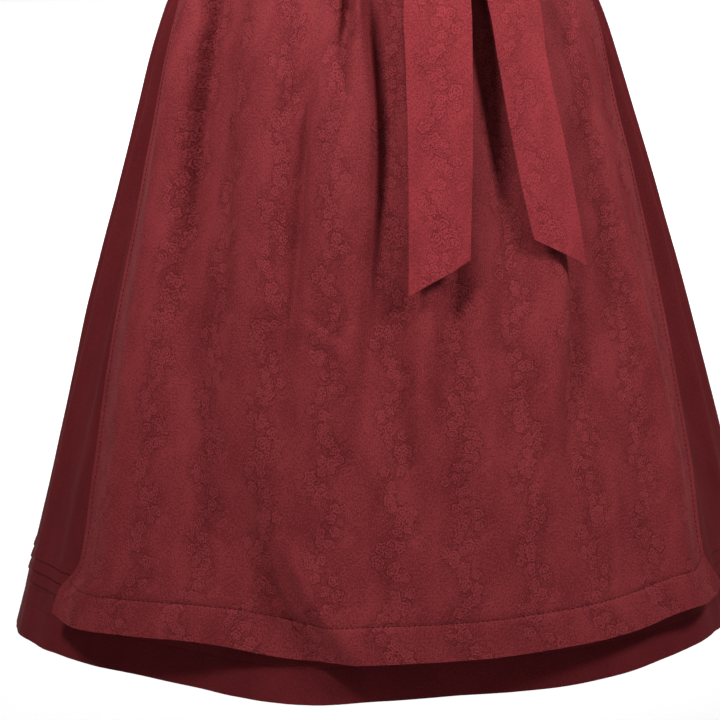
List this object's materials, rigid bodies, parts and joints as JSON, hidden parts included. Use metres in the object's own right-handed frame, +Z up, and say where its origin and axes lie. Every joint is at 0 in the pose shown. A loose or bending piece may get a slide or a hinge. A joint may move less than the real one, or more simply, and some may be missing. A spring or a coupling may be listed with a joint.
{
  "type": "dirndl",
  "caption": "Wine-red dirndl filled out with no wearer: buttoned sleeveless bodice, pleated midi skirt with hem tucks, and a tied apron with a bow.",
  "frame": {"origin": "middle of the waist seam, where the wearer holds the dirndl up", "axes": "+Z up along the wearer's body, -Y to the front of the dirndl, +X to the wearer's left, which is the viewer's right"},
  "size_m": [0.6452, 0.48, 1.0347],
  "materials": {
    "dress_cloth": "matte plain weave",
    "apron_cloth": "tone-on-tone jacquard with a slight sheen",
    "button_cloth": "cloth-covered"
  },
  "bodies": {
    "root": {"skirt_front": "dress_cloth", "skirt_back": "dress_cloth", "bodice_front_left": "dress_cloth", "bodice_front_right": "dress_cloth", "bodice_side_left": "dress_cloth", "bodice_side_right": "dress_cloth", "bodice_back": "dress_cloth", "bodice_side_back_left": "dress_cloth", "bodice_side_back_right": "dress_cloth", "button_1": "button_cloth", "button_2": "button_cloth", "button_3": "button_cloth", "button_4": "button_cloth", "button_5": "button_cloth", "button_6": "button_cloth", "apron_panel": "apron_cloth", "apron_waistband": "apron_cloth", "tie_right": "apron_cloth", "tie_left": "apron_cloth", "bow_knot": "apron_cloth", "bow_loop_outer": "apron_cloth", "bow_loop_inner": "apron_cloth", "bow_end_inner": "apron_cloth", "bow_end_outer": "apron_cloth"}
  },
  "joints": []
}
